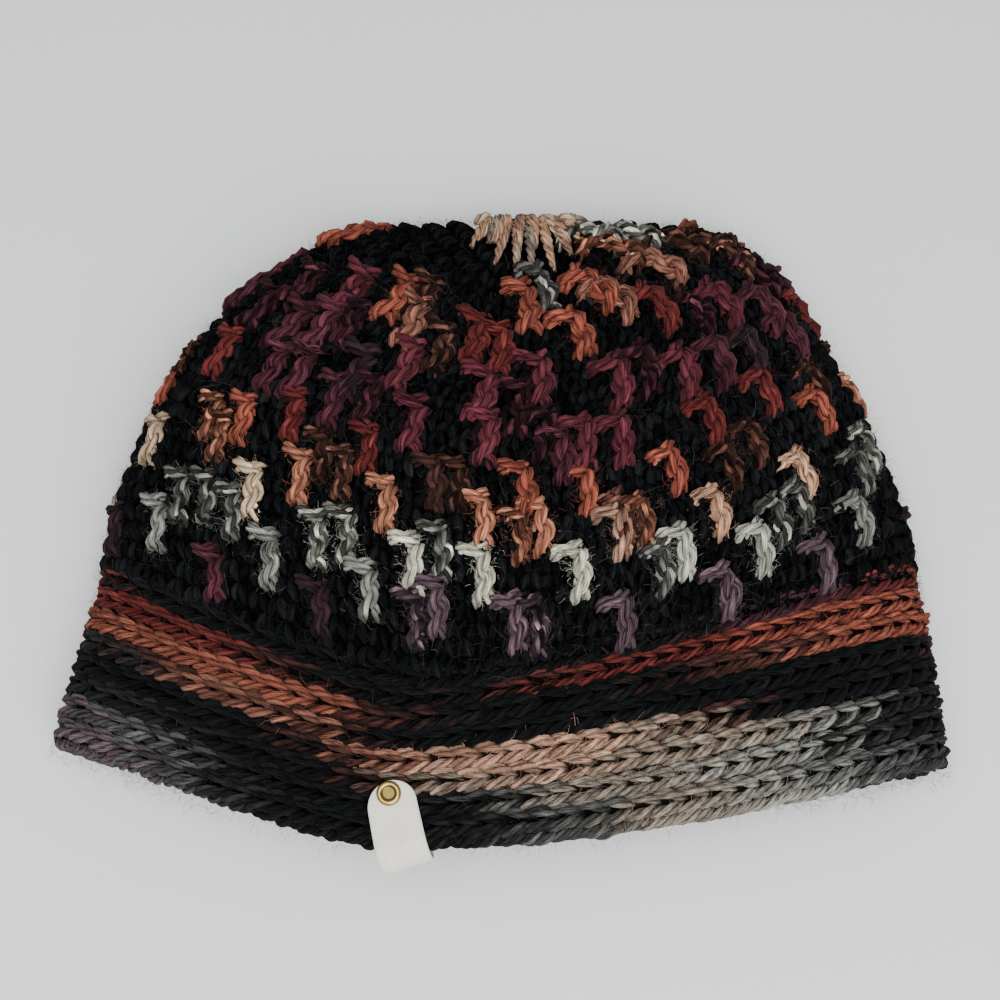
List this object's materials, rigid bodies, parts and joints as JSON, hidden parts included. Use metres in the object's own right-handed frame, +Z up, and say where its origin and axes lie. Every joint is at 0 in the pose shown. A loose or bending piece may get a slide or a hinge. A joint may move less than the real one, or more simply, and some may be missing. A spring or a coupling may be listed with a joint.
{
  "type": "crocheted beanie",
  "caption": "Thick crocheted beanie lying folded flat, with a braided brim band, a textured crown gathered shut at the top and a blank riveted label at the brim.",
  "frame": {"origin": "under the middle of the hat's outline, on the surface that its back lies on", "axes": "+X across the hat from its left fold to its right fold, +Y from the open brim towards the gathered crown, +Z up from the back to the front"},
  "size_m": [0.2188, 0.184, 0.0441],
  "materials": {
    "crown_yarn": "fuzzy black worsted yarn with overlaid variegated mauve, grey, cream, peach, coral and red stitches",
    "brim_yarn": "fuzzy variegated worsted yarn in braided rows of brick red, coral, brown, grey and black",
    "label_leatherette": "smooth off-white leatherette, blank",
    "rivet_brass": "polished brass with a dished centre"
  },
  "bodies": {
    "root": {"crown": "crown_yarn", "brim_band": "brim_yarn", "label_tab": "label_leatherette", "label_rivet": "rivet_brass"}
  },
  "joints": []
}
